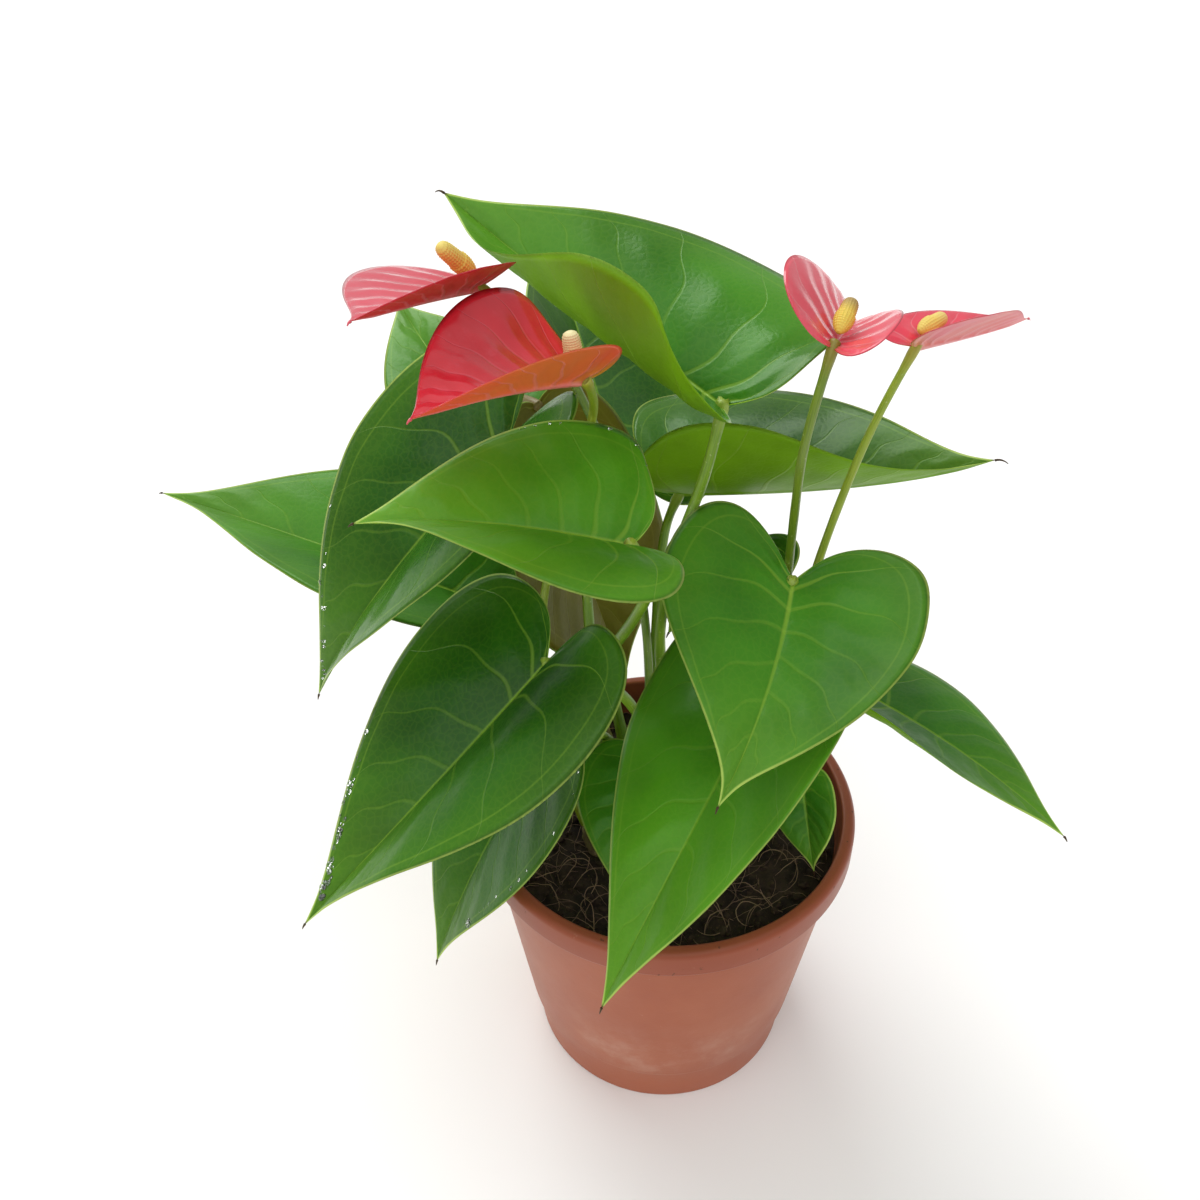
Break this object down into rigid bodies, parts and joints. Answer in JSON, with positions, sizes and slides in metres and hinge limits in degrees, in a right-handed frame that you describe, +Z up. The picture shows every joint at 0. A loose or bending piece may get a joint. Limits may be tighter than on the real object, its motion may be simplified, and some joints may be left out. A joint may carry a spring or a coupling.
{
  "type": "potted flamingo plant",
  "caption": "Flamingo plant (anthurium) with glossy heart-shaped leaves and red waxy spathes, growing in a round terracotta-coloured plastic nursery pot.",
  "frame": {"origin": "middle of the pot's flat foot", "axes": "+Z up, -Y towards the front of the plant"},
  "size_m": [0.2924, 0.2885, 0.3147],
  "materials": {
    "pot": "satin terracotta-coloured plastic with a pale bloom near the foot",
    "mix": "dark damp potting mix with coir fibres",
    "stem": "corky green-brown root stock",
    "leaf": "glossy waxy green leaf with pale yellow-green veins",
    "young_leaf": "soft bronze young leaf",
    "petiole": "smooth yellow-green stalk",
    "peduncle": "smooth yellow-green flower stalk",
    "spathe": "very glossy waxy red bract with puckered veins",
    "spadix": "finely bumpy yellow spike with a browned tip"
  },
  "bodies": {
    "root": {"pot": "pot", "potting_mix": "mix", "stem_left": "stem", "stem_back": "stem", "stem_right": "stem", "leaf_top_back": "leaf", "petiole_top_back": "petiole", "leaf_right_back": "leaf", "petiole_right_back": "petiole", "leaf_middle": "leaf", "petiole_middle": "petiole", "leaf_left_dark": "leaf", "petiole_left_dark": "petiole", "leaf_far_left": "leaf", "petiole_far_left": "petiole", "leaf_right_heart": "leaf", "petiole_right_heart": "petiole", "leaf_front": "leaf", "petiole_front": "petiole", "leaf_front_left": "leaf", "petiole_front_left": "petiole", "leaf_low_left": "leaf", "petiole_low_left": "petiole", "leaf_low_middle": "leaf", "petiole_low_middle": "petiole", "leaf_right_low": "leaf", "petiole_right_low": "petiole", "leaf_small_right": "leaf", "petiole_small_right": "petiole", "leaf_back_upright": "leaf", "petiole_back_upright": "petiole", "leaf_left_small": "leaf", "petiole_left_small": "petiole", "leaf_right_hidden": "leaf", "petiole_right_hidden": "petiole", "leaf_young_bronze": "young_leaf", "petiole_young_bronze": "petiole", "spathe_left": "spathe", "spadix_left": "spadix", "peduncle_left": "peduncle", "spathe_front": "spathe", "spadix_front": "spadix", "peduncle_front": "peduncle", "spathe_right_back": "spathe", "spadix_right_back": "spadix", "peduncle_right_back": "peduncle", "spathe_right": "spathe", "spadix_right": "spadix", "peduncle_right": "peduncle"}
  },
  "joints": []
}
